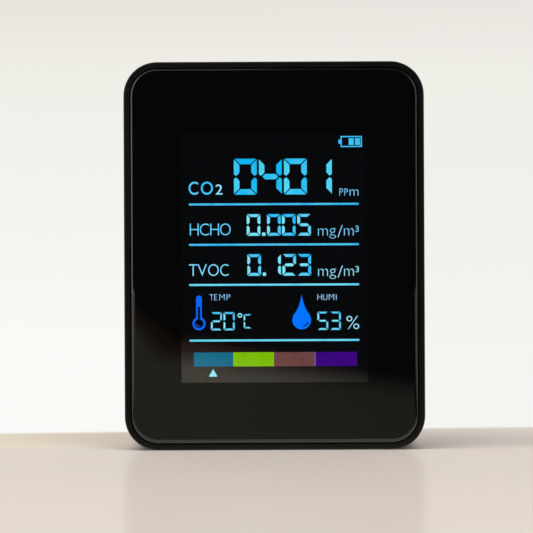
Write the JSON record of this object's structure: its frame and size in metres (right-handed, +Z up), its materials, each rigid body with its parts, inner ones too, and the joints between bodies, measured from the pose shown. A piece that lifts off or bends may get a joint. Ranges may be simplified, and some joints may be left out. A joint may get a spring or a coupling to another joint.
{
  "type": "air quality monitor",
  "caption": "Upright black desktop air quality monitor with a rounded rectangular body, a flat gloss window over a lit display, rear vents and push buttons.",
  "frame": {"origin": "centre of the base, on the surface the monitor stands on", "axes": "+Z up, -Y out of the display towards the viewer, +X to the viewer's right"},
  "size_m": [0.066, 0.025, 0.0853],
  "materials": {
    "housing_plastic": "fine matt texture, black",
    "window_clear": "clear, polished, rounded front edge",
    "black_print": "black screen print",
    "black_foam": "black foam tape",
    "polariser": "dark film, slightly glossy",
    "display_glass": "thin display glass",
    "printed_film": "film printed with the display's colours",
    "white_film": "white diffusing film",
    "clear_acrylic": "clear light guide",
    "white_plastic": "moulded white",
    "led_resin": "yellowish clear resin",
    "amber_flex": "amber polyimide",
    "ivory_plastic": "moulded ivory",
    "circuit_board": "green solder mask",
    "chip_resin": "black moulded resin",
    "small_ceramic": "ceramic chip parts",
    "ferrite": "dark ferrite",
    "can_steel": "plated steel can",
    "blue_board": "blue solder mask",
    "gold_plating": "gold plated moulding",
    "white_membrane": "white porous membrane",
    "gold_pins": "gold plated pins",
    "battery_foil": "satin pouch foil",
    "red_insulation": "red wire insulation",
    "black_insulation": "black wire insulation",
    "port_steel": "plated port shell",
    "port_plastic": "black moulded",
    "plunger_plastic": "moulded dark grey",
    "button_plastic": "satin black",
    "screw_steel": "zinc plated"
  },
  "bodies": {
    "housing": {"front_housing": "housing_plastic", "rear_cover": "housing_plastic", "front_window": "window_clear", "window_mask": "black_print", "window_tape": "black_foam", "front_polariser": "polariser", "lcd_front_glass": "display_glass", "lcd_rear_glass": "display_glass", "rear_polariser": "polariser", "colour_film": "printed_film", "diffuser_sheet": "white_film", "light_guide": "clear_acrylic", "reflector_sheet": "white_film", "backlight_tray": "white_plastic", "backlight_leds": "led_resin", "display_ribbon": "amber_flex", "ribbon_connector": "ivory_plastic", "main_board": "circuit_board", "controller_chip": "chip_resin", "driver_chips": "chip_resin", "small_components": "small_ceramic", "power_inductor": "ferrite", "clock_crystal": "can_steel", "co2_sensor_board": "blue_board", "co2_sensor_chamber": "gold_plating", "co2_sensor_filter": "white_membrane", "co2_sensor_pins": "gold_pins", "formaldehyde_sensor": "can_steel", "formaldehyde_membrane": "white_membrane", "tvoc_sensor_base": "chip_resin", "tvoc_sensor_cap": "can_steel", "round_sensor_pins": "gold_pins", "climate_sensor": "chip_resin", "battery_cell": "battery_foil", "battery_protection_board": "amber_flex", "battery_pad": "black_foam", "battery_lead_red": "red_insulation", "battery_lead_black": "black_insulation", "battery_plug": "white_plastic", "battery_socket": "white_plastic", "usb_port_shell": "port_steel", "usb_port_tongue": "port_plastic", "power_switch_body": "chip_resin", "set_switch_body": "chip_resin", "housing_screws": "screw_steel", "board_screws": "screw_steel"},
    "power_button": {"power_button": "button_plastic"},
    "power_plunger": {"power_switch_plunger": "plunger_plastic"},
    "set_button": {"set_button": "button_plastic"},
    "set_plunger": {"set_switch_plunger": "plunger_plastic"}
  },
  "joints": [
    {"name": "power_button_press", "type": "slide", "parent": "housing", "child": "power_button", "axis": [0, -1, 0], "range_m": [0, 0.0004], "stiffness_N_per_m": 1000},
    {"name": "power_plunger_press", "type": "slide", "parent": "housing", "child": "power_plunger", "axis": [0, -1, 0], "range_m": [0, 0.0004]},
    {"name": "set_button_press", "type": "slide", "parent": "housing", "child": "set_button", "axis": [0, -1, 0], "range_m": [0, 0.0004], "stiffness_N_per_m": 1000},
    {"name": "set_plunger_press", "type": "slide", "parent": "housing", "child": "set_plunger", "axis": [0, -1, 0], "range_m": [0, 0.0004]}
  ],
  "couplings": [
    {"joint": "power_plunger_press", "follows": "power_button_press", "ratio": 1},
    {"joint": "set_plunger_press", "follows": "set_button_press", "ratio": 1}
  ]
}
